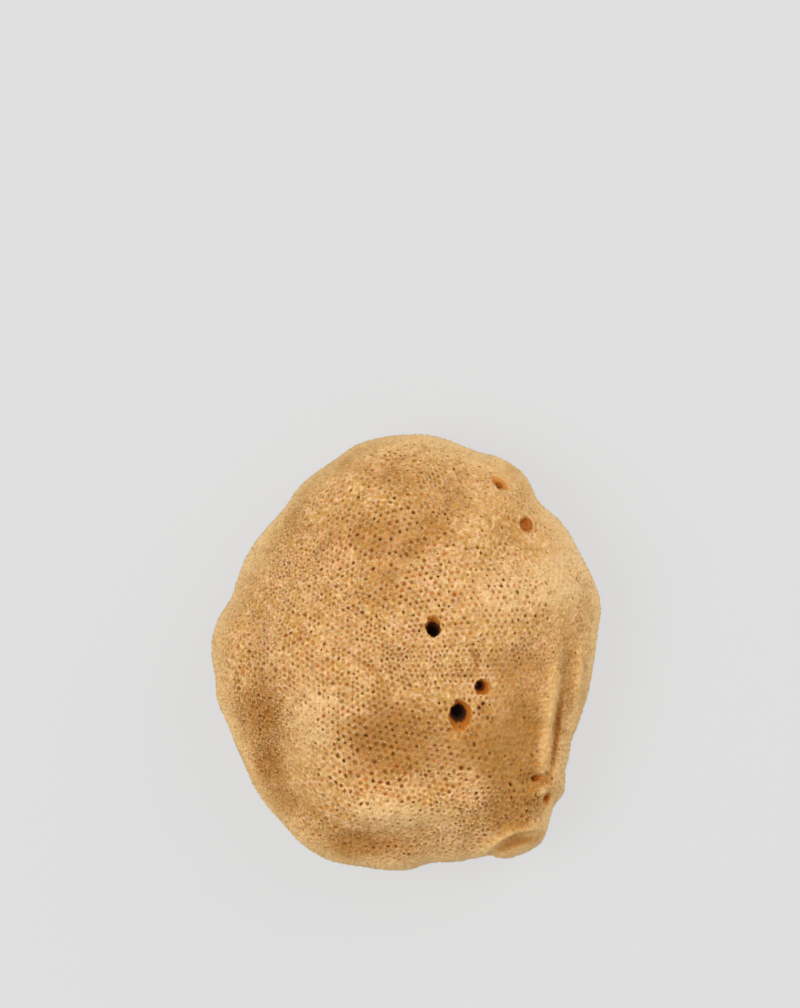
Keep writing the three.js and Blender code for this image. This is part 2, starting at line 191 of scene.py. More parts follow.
def outline_radius(angle):
    """How far the outline is from the middle, smooth between its points."""
    i = np.searchsorted(KNOT_ANGLE, angle, side="right") - 1
    span = KNOT_ANGLE[i + 1] - KNOT_ANGLE[i]
    t = (angle - KNOT_ANGLE[i]) / span
    return (
        (1 + 2 * t) * (1 - t) ** 2 * KNOT_RADIUS[i]
        + t * (1 - t) ** 2 * span * KNOT_SLOPE[i]
        + t * t * (3 - 2 * t) * KNOT_RADIUS[i + 1]
        - t * t * (1 - t) * span * KNOT_SLOPE[i + 1]
    )


def rim_share(x, y):
    """0 at the middle and 1 on the outline."""
    return np.hypot(x, y) / outline_radius(np.arctan2(y, x))


def smooth_step(value, low, high):
    t = np.clip((value - low) / (high - low), 0, 1)
    return t * t * (3 - 2 * t)


def bell(x, y, middle, reach):
    """1 in the middle of a stretch of skin, less all round, and nearly 0 two reaches away."""
    return np.exp(-(((x - middle[0]) / reach[0]) ** 2) - ((y - middle[1]) / reach[1]) ** 2)


def fold_rise(x, y, reach, path):
    """The rise of a fold at points in plan, from the nearest place on its line."""
    nearest, rise = np.full(np.shape(x), np.inf), np.zeros(np.shape(x))
    for (ax, ay, from_rise), (bx, by, to_rise) in zip(path, path[1:]):
        along = ((x - ax) * (bx - ax) + (y - ay) * (by - ay)) / ((bx - ax) ** 2 + (by - ay) ** 2)
        along = np.clip(along, 0, 1)
        distance = np.hypot(x - ax - along * (bx - ax), y - ay - along * (by - ay))
        rise = np.where(distance < nearest, from_rise + along * (to_rise - from_rise), rise)
        nearest = np.minimum(nearest, distance)
    return rise * np.exp(-((nearest / reach) ** 2))


def undulation(x, y, z):
    """Slow waves that keep every stretch of the lump from being a perfect curve."""
    return (
        0.55 * np.sin(x / 7.3 + 0.8) * np.cos(y / 8.1 - 0.4)
        + 0.4 * np.sin(x / 4.1 - y / 5.3 + z / 4.7)
        + 0.35 * np.cos(y / 3.9 + z / 5.2 + 1.3)
    )


def rim_band(x, y, z, shares):
    """1 on the rim, 0 on top and near the cut. It begins between two shares of the outline."""
    above_edge = smooth_step(z + WAVY_EDGE * undulation(x, y, z), *BAND_HEIGHTS)
    return smooth_step(rim_share(x, y), *shares) * above_edge


def relief(x, y, z):
    """How far the skin stands above or below the plain dome."""
    calm = RIM_CALM * np.exp(-(((z - RIM_HEIGHT) / RIM_CALM_REACH) ** 2))
    rise = undulation(x, y, z) * (1 - calm)
    upper = smooth_step(z, RELIEF_GONE_AT, RELIEF_FADES_FROM)
    for middle, reach, height in SWELLS:
        rise += upper * height * bell(x, y, middle, reach)
    for reach, path in FOLDS:
        rise += upper * fold_rise(x, y, reach, path)
    return rise


def onto_plain_form(points):
    """Moves points along rays from the middle of the rim's level onto the dome, underside or cut."""
    x, y, climb = points[:, 0], points[:, 1], points[:, 2] - RIM_HEIGHT
    share = rim_share(x, y)
    upper = climb > 0
    fullness = np.where(upper, DOME_FULLNESS, UNDERSIDE_FULLNESS)
    reach = np.where(upper, HEIGHT - RIM_HEIGHT, UNDERSIDE_DEPTH)
    grow = (share**fullness + np.abs(climb / reach) ** fullness) ** (-1 / fullness)
    to_cut = RIM_HEIGHT / np.maximum(-climb, 1e-6)
    grow = np.where(grow > to_cut, to_cut, grow)
    moved = points * grow[:, None]
    moved[:, 2] = RIM_HEIGHT + climb * grow
    return moved


def onto_real_form(points):
    """Pushes points of the plain form out or in by the relief. The flat cut stays flat."""
    x, y, z = points.T
    outward = np.stack(
        [PUSH_SIDEWAYS * x, PUSH_SIDEWAYS * y, PUSH_UPWARDS * (z - RIM_HEIGHT)], axis=1)
    outward /= np.linalg.norm(outward, axis=1)[:, None]
    moved = points + outward * relief(x, y, z)[:, None]
    moved[:, 2] = np.where(z < ON_CUT, 0, np.maximum(moved[:, 2], 0))
    return moved


print(f"outline from {KNOT_RADIUS.min():.1f} to {KNOT_RADIUS.max():.1f} mm from the middle")

# %% [markdown]
# ## A net of points over the lump
# Every dimple needs a centre, about 1.6 mm from the next on top and wider apart lower down. Points
# thrown at random leave gaps and clumps. A sphere of triangles is an even net that closes on itself,
# so it is stretched over the lump by area, and then eased: edges flip to the shorter way across, and
# points slide to the middle of their neighbours. Before the last easing each point strays a little,
# which leaves the small faults that living rows of pores have.

# %% Stretch a sphere's points over the plain form
NET_CUTS = 29  # new points along each edge of the first icosphere, which sets how many there are
# How far apart the points are on each stretch, next to the others.
TOP_SPACING = 1.36
SIDE_SPACING = 1.75
CUT_SPACING = 2.7
EASING_ROUNDS = 2  # before the points stray, and one more comes after
NET_JITTER = 0.46  # millimetres that a point strays at most, each way

rng = np.random.default_rng(20260)


def profile_of_form(steps=3000):
    """The half section, from the dome's top to the middle of the cut: shares of the radius, heights."""
    def arc(climb, fullness):
        turn = np.linspace(0, math.pi / 2, steps)
        out, up = np.sin(turn) ** (2 / fullness), np.cos(turn) ** (2 / fullness)
        return np.stack([out, RIM_HEIGHT + climb * up], axis=1)

    dome = arc(HEIGHT - RIM_HEIGHT, DOME_FULLNESS)
    lower = arc(-UNDERSIDE_DEPTH, UNDERSIDE_FULLNESS)[::-1]
    lower = lower[lower[:, 1] > 0]
    cut = np.stack([np.linspace(lower[-1, 0], 0, steps), np.zeros(steps)], axis=1)
    return np.concatenate([dome, lower, cut])


def net_heights(share_of_points):
    """Where on the profile a point goes so that each stretch gets the dimples it should have."""
    profile = profile_of_form()
    mean_radius = float(KNOT_RADIUS.mean())
    step = np.hypot(np.diff(profile[:, 0]) * mean_radius, np.diff(profile[:, 1]))
    middle = (profile[1:] + profile[:-1]) / 2
    spacing = np.where(middle[:, 1] > RIM_HEIGHT, TOP_SPACING, SIDE_SPACING)
    spacing = np.where(middle[:, 1] < ON_CUT, CUT_SPACING, spacing)
    dimples = step * middle[:, 0] * mean_radius / spacing**2
    total = np.concatenate([[0], np.cumsum(dimples)])
    steps = np.arange(len(profile))
    place = np.interp(share_of_points, total / total[-1], steps)
    return np.interp(place, steps, profile[:, 0]), np.interp(place, steps, profile[:, 1])


def read_points(bm):
    return np.array([v.co[:] for v in bm.verts])


def write_points(bm, points):
    for v, place in zip(bm.verts, points):
        v.co = place


skin = bmesh.new()
bmesh.ops.create_icosphere(skin, subdivisions=1, radius=1.0)
bmesh.ops.subdivide_edges(skin, edges=skin.edges[:], cuts=NET_CUTS, use_grid_fill=True)
ball = read_points(skin)
ball /= np.linalg.norm(ball, axis=1)[:, None]
share, height = net_heights((1 - ball[:, 2]) / 2)
angle = np.arctan2(ball[:, 1], ball[:, 0])
reach = share * outline_radius(angle)
write_points(skin, np.stack([reach * np.cos(angle), reach * np.sin(angle), height], axis=1))
print(len(skin.verts), "points stretched over the form")

# %% Ease the net
def flip_to_short_edges(bm):
    bmesh.ops.beautify_fill(bm, faces=bm.faces[:], edges=bm.edges[:], method="AREA")


def ease(bm):
    flip_to_short_edges(bm)
    bmesh.ops.smooth_vert(
        bm, verts=bm.verts[:], factor=0.5, use_axis_x=True, use_axis_y=True, use_axis_z=True)
    write_points(bm, onto_plain_form(read_points(bm)))


for _ in range(EASING_ROUNDS):
    ease(skin)
points = read_points(skin)
write_points(skin, onto_plain_form(points + rng.uniform(-NET_JITTER, NET_JITTER, points.shape)))
ease(skin)
flip_to_short_edges(skin)
lengths = np.array([e.calc_length() for e in skin.edges if e.verts[0].co.z > RIM_HEIGHT])
print(f"points on top are {lengths.mean():.2f} mm apart, {lengths.min():.2f} to {lengths.max():.2f}")

# %% [markdown]
# ## From points to walled cells
# The skin's walls run between the points, not through them. Poking each triangle sets a new point in
# its middle, and turning each old edge joins two of those, so that every old point is left inside a
# cell of mostly five to seven walls. Dissolving the old point leaves the cell as one face.

# %% Turn the net inside out into cells
centres = skin.verts[:]
walls = skin.edges[:]
bmesh.ops.poke(skin, faces=skin.faces[:])
bmesh.ops.rotate_edges(skin, edges=walls, use_ccw=False)
bmesh.ops.dissolve_verts(skin, verts=centres)
print(len(skin.faces), "cells with", sorted({len(f.verts) for f in skin.faces}), "walls")

# %% [markdown]
# ## Dimples and pores
# A shallow dimple is a bowl, and a pore goes on down as a narrow shaft. Each cell is inset once for
# the bowl's edge. A bowl is then closed by a poked middle point, and a pore is inset again for the
# foot of its shaft. The points stay on the smooth form for now and only remember how far each will
# be sunk, so that the relief is worked out before any pit disturbs it. In the photograph the pores
# are coarse at the left and below the middle, fine at the right, and nearly gone along the rim.

# %% How coarse the skin is at each place
# Patches of coarser (above 0) or finer (below 0) skin: (middle), (reach along X and Y), change.
COARSE_PATCHES = [
    ((-34, -16), (7, 16), 0.4),  # hollow at the left
    ((-6, -24), (12, 9), 0.4),  # dip below the middle
    ((-20, -40), (10, 6), 0.2),
    ((26, -36), (7, 6), 0.2),
    ((-5, 22), (20, 12), 0.15),
    ((28, -18), (9, 17), -0.6),  # fine skin between the outlets and the folds
    ((40, 12), (7, 16), -0.55),
    ((35, 27), (8, 9), -0.55),
    ((22, 34), (9, 7), -0.35),
    ((18, 42), (14, 7), -0.3),
    ((-14, 46), (14, 6), -0.1),
    ((-26, -28), (7, 13), -0.55),  # smooth crest at the lower left
    ((-2, -41), (12, 4), -0.35),
    ((-38, 16), (5, 12), -0.2),
    ((25.5, 45.5), (3.5, 2.5), -0.8),
]
PLAIN_COARSENESS = 0.8
COARSENESS_LIMITS = (0.05, 1.3)
CALM_FOLDS = 8  # the first folds have smooth lips
PATCH_HEIGHTS = (RIM_HEIGHT - 2, RIM_HEIGHT + 4)  # the patches come in between these
LIP_CALM = 0.2  # millimetres that the smoothness reaches past a fold
FULL_FOLD = 1.8  # millimetres that a fold rises or sinks where it is smoothest
SMOOTHED = 0.85  # share of the coarseness that such a fold, or the rim, takes away
RIM_BAND = (0.91, 0.985)  # the pores fade out between these shares of the outline


def coarseness(points):
    """How coarse the skin is at points: about 0 where it is smooth, about 1 where it is coarsest."""
    x, y, z = points.T
    value = np.full(len(points), PLAIN_COARSENESS)
    on_top = smooth_step(z, *PATCH_HEIGHTS)
    for middle, reach, change in COARSE_PATCHES:
        value += on_top * change * bell(x, y, middle, reach)
    calm_folds = FOLDS[:CALM_FOLDS]
    folds = sum(np.abs(fold_rise(x, y, reach + LIP_CALM, path)) for reach, path in calm_folds)
    value *= 1 - SMOOTHED * np.clip(folds / FULL_FOLD, 0, 1)
    value *= 1 - SMOOTHED * rim_band(x, y, z, RIM_BAND)
    return np.clip(value, *COARSENESS_LIMITS)


# %% Inset every cell
PORE_SHARE = 0.36  # of the cells on coarse skin, and fewer of those on fine skin
PORE_MOUTH = (0.30, 0.52)  # share of the cell's radius
PORE_DEPTH = (0.4, 0.95)
SHAFT_TAPER = 0.78  # width of a shaft's foot as a share of its mouth's
BOWL_EDGE = (0.28, 0.60)
BOWL_DEPTH = (0.35, 1.05)
RAGGEDNESS = (0.78, 1.22)  # each point of a pore's or a bowl's edge strays in or out by this much
EDGE_DEPTH = 0.45  # how deep that edge lies, as a share of the whole depth,
EDGE_LIFT = 0.4  # and how much of the wall's own height it keeps
BOTTOM_DEPTH = 2.2  # a bowl's bottom lies this many times as deep as its edge,
BOTTOM_DROP = 0.05  # and this much deeper still
TIP_HEIGHT = 0.5  # the tallest of the walls' corners; most are far lower
FINE_TIP, FINE_BOWL, FINE_PORE = 0.35, 0.3, 0.5  # what is left of each on the finest skin

lift = skin.verts.layers.float.new("lift")
canal_shade_depth = skin.verts.layers.float.new("canal")
tint = skin.verts.layers.float.new("tint")
corner = skin.verts.layers.int.new("corner")
cell_number = skin.faces.layers.int.new("cell")


def ring_of(face):
    """Each point of an inset face with the point outside it that it came from."""
    inside = set(face.verts)
    for v in face.verts:
        yield v, next(e.other_vert(v) for e in v.link_edges if e.other_vert(v) not in inside)


def pick(limits):
    return limits[0] + (limits[1] - limits[0]) * rng.random()


def faded(least, share):
    """The least where the share is 0, and 1 where it is 1."""
    return least + (1 - least) * share


cells = skin.faces[:]
cell_middle = [f.calc_center_median() for f in cells]
cell_coarse = coarseness(np.array([c[:] for c in cell_middle]))
corner_coarse = coarseness(read_points(skin))
for v, coarse in zip(skin.verts, corner_coarse):
    v[corner] = 1
    v[tint] = 0.5
    v[lift] = TIP_HEIGHT * rng.random() ** 2 * faded(FINE_TIP, min(coarse, 1))
for number, face in enumerate(cells):
    face[cell_number] = number

bmesh.ops.inset_individual(skin, faces=cells, thickness=0.1, depth=0, use_even_offset=False)
bowls, pores = [], []
for number, face in enumerate(cells):
    coarse = cell_coarse[number]
    is_pore = rng.random() < PORE_SHARE * coarse**1.5
    (pores if is_pore else bowls).append(face)
    width = pick(PORE_MOUTH if is_pore else BOWL_EDGE)
    depth = pick(BOWL_DEPTH) * faded(FINE_BOWL, coarse)
    cell_tint = rng.random()
    for v, outside in ring_of(face):
        v.co = cell_middle[number].lerp(outside.co, width * pick(RAGGEDNESS))
        v[corner] = 0
        v[tint] = cell_tint
        v[lift] = outside[lift] * EDGE_LIFT - depth * EDGE_DEPTH

foot_depth = {}
for face in pores:
    number = face[cell_number]
    foot_depth[number] = pick(PORE_DEPTH) * faded(FINE_PORE, min(cell_coarse[number], 1))
bmesh.ops.inset_individual(skin, faces=pores, thickness=0.1, depth=0, use_even_offset=False)
for face in pores:
    number = face[cell_number]
    for v, outside in ring_of(face):
        v.co = cell_middle[number].lerp(outside.co, SHAFT_TAPER)
        v[lift] = -foot_depth[number]
        v[tint] = outside[tint]

poked = bmesh.ops.poke(skin, faces=bowls)
for v in poked["verts"]:
    outside = v.link_edges[0].other_vert(v)
    v[corner] = 0
    v[lift] = outside[lift] * BOTTOM_DEPTH - BOTTOM_DROP
    v[tint] = outside[tint]
print(len(bowls), "dimples and", len(pores), "pores")

# %% Push the skin onto the real form, then sink the pits
SKIN_LEVEL = -0.35  # the walls stand a little inside the solid, so that fibres end at its skin
UPRIGHT = 1.0  # how much the pits of the slopes lean towards straight down,
UPRIGHT_HEIGHTS = (RIM_HEIGHT, RIM_HEIGHT + 12)  # from not at all to fully between these

write_points(skin, onto_real_form(read_points(skin)))
skin.normal_update()
points = read_points(skin)
out_of_pits = np.array([v.normal[:] for v in skin.verts])
out_of_pits[:, 2] += UPRIGHT * smooth_step(points[:, 2], *UPRIGHT_HEIGHTS)
out_of_pits /= np.linalg.norm(out_of_pits, axis=1)[:, None]
sunk = np.array([v[lift] for v in skin.verts])
level = np.where(points[:, 2] < ON_CUT, 0, SKIN_LEVEL)
points = points + out_of_pits * (sunk + level)[:, None]
points[:, 2] = np.maximum(points[:, 2], 0)
write_points(skin, points)
print(f"deepest pore {-sunk.min():.1f} mm, tallest wall {sunk.max():.2f} mm")

# %% [markdown]
# ## Outlets
# An outlet is a funnel with a torn lip that runs down into a canal. The cells inside its mouth are
# taken away, the rim that is left is eased towards the mouth's oval, and the rim's edges are extruded
# down the funnel and the canal, ring after ring. A boolean cut would do it too, but would leave
# slivers in the walls.

# %% The outlets, and the canals that the cut crossed
# (middle), (radii), turn in degrees, (shift of the canal from the mouth), canal's radius,
# depth of the funnel, depth of the canal's end, depth of painted shade that the end is given.
OUTLETS = [
    ((7.1, 7.6), (2.1, 2.8), 0, (-0.1, -1.0), 1.7, 3.0, 8, 14),
    ((13.5, -14.9), (3.1, 4.2), 8, (-0.5, 0.8), 1.8, 3.2, 9, 16),
    ((19.3, -7.8), (2.2, 2.2), 0, (-0.7, 0.3), 1.2, 2.6, 5, 7),
    ((30.5, 32.4), (2.0, 2.7), 20, (-0.4, 0.2), 1.4, 2.0, 2.8, 1.1),
    ((24.1, 43.3), (3.6, 1.6), -40, (-0.6, -0.6), 0.7, 1.3, 2.0, 1.9),
    ((33.5, -31.7), (2.2, 1.2), 0, (-1.0, 0.0), 0.6, 1.3, 2.0, 3.0),
    ((35.8, -36.9), (1.2, 2.8), -18, (-0.2, 0.0), 0.5, 1.2, 1.8, 2.6),
]
CUT_CANALS = [
    ((14, 18), (3.4, 2.8), 20, (-0.6, -0.6), 2.0, 4.0, 13, 13),
    ((-19, 11), (2.6, 3.1), 0, (0.8, 0.2), 1.8, 4.0, 12, 12),
    ((-12, -24), (3.0, 2.3), -30, (0.3, 0.9), 1.6, 3.0, 10, 10),
    ((22, -17), (2.7, 3.3), 10, (-0.9, 0.3), 1.9, 4.0, 12, 12),
    ((3, 34), (2.0, 1.8), 0, (0, -0.8), 1.2, 2.5, 8, 8),
    ((-29, -10), (1.8, 2.2), 15, (0.8, 0), 1.2, 2.5, 7, 7),
    ((8, -35), (2.2, 1.9), 0, (0, 0.8), 1.3, 2.5, 8, 8),
]
# How far in from the mouth to the canal, and how far down the funnel, each ring of the funnel is.
FUNNEL_RINGS = [(0.05, 0.05), (0.25, 0.18), (0.48, 0.38), (0.7, 0.62), (0.88, 0.88), (1.0, 1.3)]
CANAL_RINGS = [0.2, 0.5, 0.85]  # shares of the way from the funnel's foot to the canal's end
CANAL_TAPER = 0.5  # how much narrower the canal is at its end
MOST_GROWTH = 1.5  # how far out a point of the rim may be moved to reach the oval
LIP_ROUNDNESS = 0.6  # 1 puts the rim on the oval, 0 leaves it as torn as the cells are
WALL_WOBBLE = 0.10  # how far a wall's points stray in or out, as a share

# %% Find the rims of all the mouths
def in_mouth(x, y, at, radii, turn):
    """1 on the mouth's oval, less inside it."""
    cos, sin = math.cos(math.radians(turn)), math.sin(math.radians(turn))
    from_x, from_y = x - at[0], y - at[1]
    across, along = from_x * cos + from_y * sin, from_y * cos - from_x * sin
    return np.hypot(across / radii[0], along / radii[1])


def cells_by_side(bm):
    """The middle and the faces of every cell, the top's cells apart from the cut's."""
    faces_of = {}
    for face in bm.faces:
        faces_of.setdefault(face[cell_number], []).append(face)
    all_cells = [(cell_middle[number], faces) for number, faces in faces_of.items()]
    top = [cell for cell in all_cells if cell[0].z > RIM_HEIGHT]
    cut = [cell for cell in all_cells if cell[0].z < ON_CUT]
    return top, cut


def ends_of(edges):
    """Every end of the edges once. A set would give them in another order on each run."""
    return list(dict.fromkeys(v for e in edges for v in e.verts))


def take_out_mouths(bm):
    """Removes the cells of every mouth and says which canal each point of the rims belongs to."""
    top, cut = cells_by_side(bm)
    gone = {}
    for side, canals in ((top, OUTLETS), (cut, CUT_CANALS)):
        for canal in canals:
            shares = [in_mouth(middle.x, middle.y, *canal[:3]) for middle, _ in side]
            nearest = min(shares)
            for share, (_, faces) in zip(shares, side):
                if share < 1 or share == nearest:
                    gone.update(dict.fromkeys(faces))
    bmesh.ops.delete(bm, geom=list(gone), context="FACES")
    rims = [e for e in bm.edges if e.is_boundary]
    canal_of = {}
    for v in ends_of(rims):
        canals = OUTLETS if v.co.z > CLEAR_OF_CUT else CUT_CANALS
        canal_of[v] = min(canals, key=lambda canal: in_mouth(v.co.x, v.co.y, *canal[:3]))
    return rims, canal_of


# %% Round the rims and extrude them
def place_key(point):
    """A point's place as a dictionary's key, since an extruded point starts where its old one is."""
    return point.to_tuple(4)


def open_canals(bm):
    """Takes out the mouths, rounds their rims and extrudes these into funnels and canals."""
    rims, canal_of = take_out_mouths(bm)
    rim_of = {}
    for v, canal in canal_of.items():
        rim_of.setdefault(canal, []).append(v)
    middle_of = {}
    for canal, rim in rim_of.items():
        _, radii, turn = canal[:3]
        middle = sum((v.co for v in rim), Vector()) / len(rim)
        for v in rim:
            grow = min(1 / in_mouth(v.co.x, v.co.y, middle, radii, turn), MOST_GROWTH)
            grow = 1 + LIP_ROUNDNESS * (grow - 1)
            v.co.x = middle.x + (v.co.x - middle.x) * grow
            v.co.y = middle.y + (v.co.y - middle.y) * grow
        middle_of[canal] = middle
    start_of = {place_key(v.co): (canal, v.co.copy()) for v, canal in canal_of.items()}
    rings = [(inwards, share, 0) for inwards, share in FUNNEL_RINGS]
    rings += [(1, 1, share) for share in CANAL_RINGS]
    for inwards, funnel_share, canal_share in rings:
        made = bmesh.ops.extrude_edge_only(bm, edges=rims)["geom"]
        rims = [e for e in made if isinstance(e, bmesh.types.BMEdge) and e.is_boundary]
        moved = {}
        for v in ends_of(rims):
            owner, start = start_of[place_key(v.co)]
            *_, shift, canal_radius, funnel_depth, end_depth, painted_shade_depth = owner
            middle = middle_of[owner]
            depth = funnel_share * funnel_depth + canal_share * (end_depth - funnel_depth)
            out = Vector((start.x - middle.x, start.y - middle.y))
            on_canal = out.normalized() * canal_radius * (1 - CANAL_TAPER * canal_share)
            on_canal += Vector(shift) * (1 + canal_share)
            place = out.lerp(on_canal, inwards) * (1 + WALL_WOBBLE * (2 * rng.random() - 1))
            down = -1 if middle.z > CLEAR_OF_CUT else 1
            height = start.z * (1 - inwards) + middle.z * inwards + down * depth
            v.co = Vector((middle.x + place.x, middle.y + place.y, height))
            # The canal's painted shade grows with depth, scaled so that the end gets its full painted
            # depth.
            v[canal_shade_depth], v[corner] = depth * painted_shade_depth / end_depth, 0
            moved[place_key(v.co)] = (owner, start)
        start_of = moved
    floors = bmesh.ops.holes_fill(bm, edges=rims, sides=0)["faces"]
    # Each canal's floor takes its full depth of painted shade.
    for v in bmesh.ops.poke(bm, faces=floors)["verts"]:
        owner, _ = start_of[place_key(v.link_edges[0].other_vert(v).co)]
        v[canal_shade_depth] = owner[-1]
    return len(floors)


print(open_canals(skin), "canals opened")

# %% [markdown]
# ## Tufts and fibres
# Where walls meet, the skeleton's upright fibres end in a tuft, and finer ones stand out all over,
# most of them leaning away from the middle of the dome. Tufts and fibres are painted paler towards
# their tips, partly as painted highlight. They give the photograph its grain. Hair systems can't leave
# Blender with the part, so each fibre is a slim three-sided cone, and all of them are copies of one
# cone joined into a single mesh by arrays.

# %% What the tufts and the fine fibres are like
NUB_SHARE = 0.5  # of the corners that have a tuft
NUB_LENGTH = (0.3, 0.7)
NUB_RADIUS = (0.34, 0.68)
NUB_STRAY = 0.25  # sideways for each millimetre outwards
FINE_NUB_LENGTH, FINE_NUB_RADIUS = 0.25, 0.3  # what is left of each on the finest skin
HAIR_COUNT = 36000  # before the smooth skin and the mouths lose theirs
HAIR_LENGTH = (0.4, 1.4)
HAIR_RADIUS = (0.06, 0.11)
HAIR_STRAY = 22.0  # how much chance there is in a fibre's lean, next to its distance from the middle
SPARSE_BELOW = 0.25  # coarseness below which the fine fibres thin out
SPARSEST = 0.9  # share of them that the smoothest skin loses
RIM_FUZZ = 0.35  # how long fibres on the rim and the sides are, as a share of those on top
FUZZ_HEIGHTS = (RIM_HEIGHT + 2, RIM_HEIGHT + 14)  # they lengthen between these
HAIR_LEAN = (0.3, 1.6)  # sideways for each millimetre outwards
ROOT_DEPTH = 0.12  # how far a fibre's foot is sunk into the wall
LIP_REACH = 1.4  # of the fibres this near an outlet, in shares of its radii,
LIP_LEANING = 0.12  # this share leans over its mouth,
LIP_PULL = 2.0  # this strongly,
LIP_CLEAR = 1.25  # and none of the others stands nearer to it than this

# %% Functions that place them
def mouth_pull(points):
    """For each point the way to the outlet it leans over, if any, and how near the next outlet is."""
    pull, nearest = np.zeros((len(points), 3)), np.full(len(points), np.inf)
    leaning = rng.random(len(points)) < LIP_LEANING
    for at, radii, turn, *_ in OUTLETS:
        share = in_mouth(points[:, 0], points[:, 1], at, radii, turn)
        nearest = np.minimum(nearest, share)
        towards = (*at, 0) - points * (1, 1, 0)
        towards /= np.linalg.norm(towards, axis=1)[:, None] + 1e-6
        pull = np.where((leaning & (share < LIP_REACH))[:, None], towards, pull)
    return pull, nearest


def is_corner(v):
    """Whether walls meet at this point, away from the flat cut."""
    return v[corner] and v.co.z > CLEAR_OF_CUT


def wall_places(bm, count):
    """Random places along the walls with the skin's direction there."""
    walls = [e for e in bm.edges if all(is_corner(v) for v in e.verts)]
    ends = np.array([[v.co[:] for v in e.verts] for e in walls])
    normals = np.array([[v.normal[:] for v in e.verts] for e in walls])
    chosen = rng.integers(0, len(walls), count)
    along = rng.random((count, 1))
    place = ends[chosen, 0] * (1 - along) + ends[chosen, 1] * along
    outward = normals[chosen, 0] * (1 - along) + normals[chosen, 1] * along
    return place, outward


def unit(vectors):
    return vectors / np.linalg.norm(vectors, axis=1)[:, None]


def between(limits, count):
    return rng.uniform(*limits, count)


def fuzz(points):
    """How long the fibres are at points, as a share: less on the smooth rim and below it."""
    return faded(RIM_FUZZ, smooth_step(points[:, 2], *FUZZ_HEIGHTS))


# %% Choose where the fibres stand
bmesh.ops.recalc_face_normals(skin, faces=skin.faces[:])
skin.normal_update()

corners = [v for v in skin.verts if is_corner(v) and rng.random() < NUB_SHARE]
nub_place = np.array([v.co[:] for v in corners])
clear = mouth_pull(nub_place)[1] > LIP_CLEAR
nub_place = nub_place[clear]
nub_outward = np.array([v.normal[:] for v in corners])[clear]
nub_coarse = np.clip(coarseness(nub_place), 0.1, 1)
nub_way = unit(nub_outward + rng.normal(0, NUB_STRAY, nub_place.shape))
nub_length = between(NUB_LENGTH, len(nub_place)) * fuzz(nub_place)
nub_length *= faded(FINE_NUB_LENGTH, nub_coarse)
nub_radius = between(NUB_RADIUS, len(nub_place))
nub_radius *= faded(FINE_NUB_RADIUS, nub_coarse)

hair_place, hair_outward = wall_places(skin, HAIR_COUNT)
smooth = 1 - np.clip(coarseness(hair_place) / SPARSE_BELOW, 0, 1)
pull, mouth_share = mouth_pull(hair_place)
pulled = pull.any(axis=1)
kept = (rng.random(HAIR_COUNT) > smooth * SPARSEST) & (pulled | (mouth_share > LIP_CLEAR))
hair_place, hair_outward, pull = hair_place[kept], unit(hair_outward[kept]), pull[kept]
combed = unit(hair_place * (1, 1, 0) + rng.normal(0, HAIR_STRAY, hair_place.shape))
combed += LIP_PULL * pull
combed -= hair_outward * np.sum(combed * hair_outward, axis=1)[:, None]
hair_way = unit(hair_outward + unit(combed) * between(HAIR_LEAN, len(hair_place))[:, None])
hair_length = between(HAIR_LENGTH, len(hair_place)) * fuzz(hair_place)
hair_radius = between(HAIR_RADIUS, len(hair_place))
print(len(nub_place), "tufts and", len(hair_place), "fine fibres")

# %% Copy one cone to every place
# The tufts and fibres are painted paler towards their tips, partly as painted highlight.
NUB_PALENESS = (0.45, 1.0)  # at the foot and at the tip
HAIR_PALENESS = (0.2, 0.55)


def unit_cone():
    """The points and faces of a three-sided cone, 1 high and 1 in radius, with its foot at 0."""
    bm = bmesh.new()
    bmesh.ops.create_cone(bm, cap_ends=True, segments=3, radius1=1, radius2=0, depth=1)
    bmesh.ops.translate(bm, verts=bm.verts[:], vec=(0, 0, 0.5))
    bmesh.ops.triangulate(bm, faces=bm.faces[:])
    points = read_points(bm)
    bm.verts.index_update()
    return points, np.array([[v.index for v in f.verts] for f in bm.faces])


def copies_of_cone(place, way, length, radius):
    """All the cones' points and faces. Each cone is turned about its own axis by chance."""
    cone, cone_faces = unit_cone()
    across = unit(np.cross(way, rng.normal(0, 1, way.shape)))
    other = np.cross(way, across)
    foot = place - way * ROOT_DEPTH
    scale = np.stack([radius, radius, length + ROOT_DEPTH], axis=1)
    axes = np.stack([across, other, way], axis=1) * scale[:, :, None]
    points = foot[:, None] + cone @ axes
    faces = cone_faces[None] + len(cone) * np.arange(len(place))[:, None, None]
    return points.reshape(-1, 3), faces.reshape(-1, 3), np.tile(cone[:, 2], len(place))


fibre_points, fibre_faces, up_cone = copies_of_cone(
    np.concatenate([nub_place, hair_place]), np.concatenate([nub_way, hair_way]),
    np.concatenate([nub_length, hair_length]), np.concatenate([nub_radius, hair_radius]))
cone_points = len(fibre_points) // (len(nub_place) + len(hair_place))
of_nub = np.arange(len(fibre_points)) < len(nub_place) * cone_points
nub_pale = np.interp(up_cone, (0, 1), NUB_PALENESS)
pale = np.where(of_nub, nub_pale, np.interp(up_cone, (0, 1), HAIR_PALENESS))
print(len(fibre_faces), "triangles of fibre")

# %% Finish the sponge's mesh
def put_faces_in_order(bm):
    """Sorts the faces by their points, because extruding makes them in another order on each run."""
    bm.verts.index_update()
    bm.faces.sort(key=lambda f: sum(v.index**3 for v in f.verts))  # plain sums would tie


put_faces_in_order(skin)
bmesh.ops.translate(skin, verts=skin.verts[:], vec=BODY_SHIFT)
bmesh.ops.scale(skin, verts=skin.verts[:], vec=(MM, MM, MM))
open_edges = sum(not e.is_manifold for e in skin.edges)
triangles = sum(len(f.verts) - 2 for f in skin.faces)
print(f"{triangles} triangles, {open_edges} open edges")


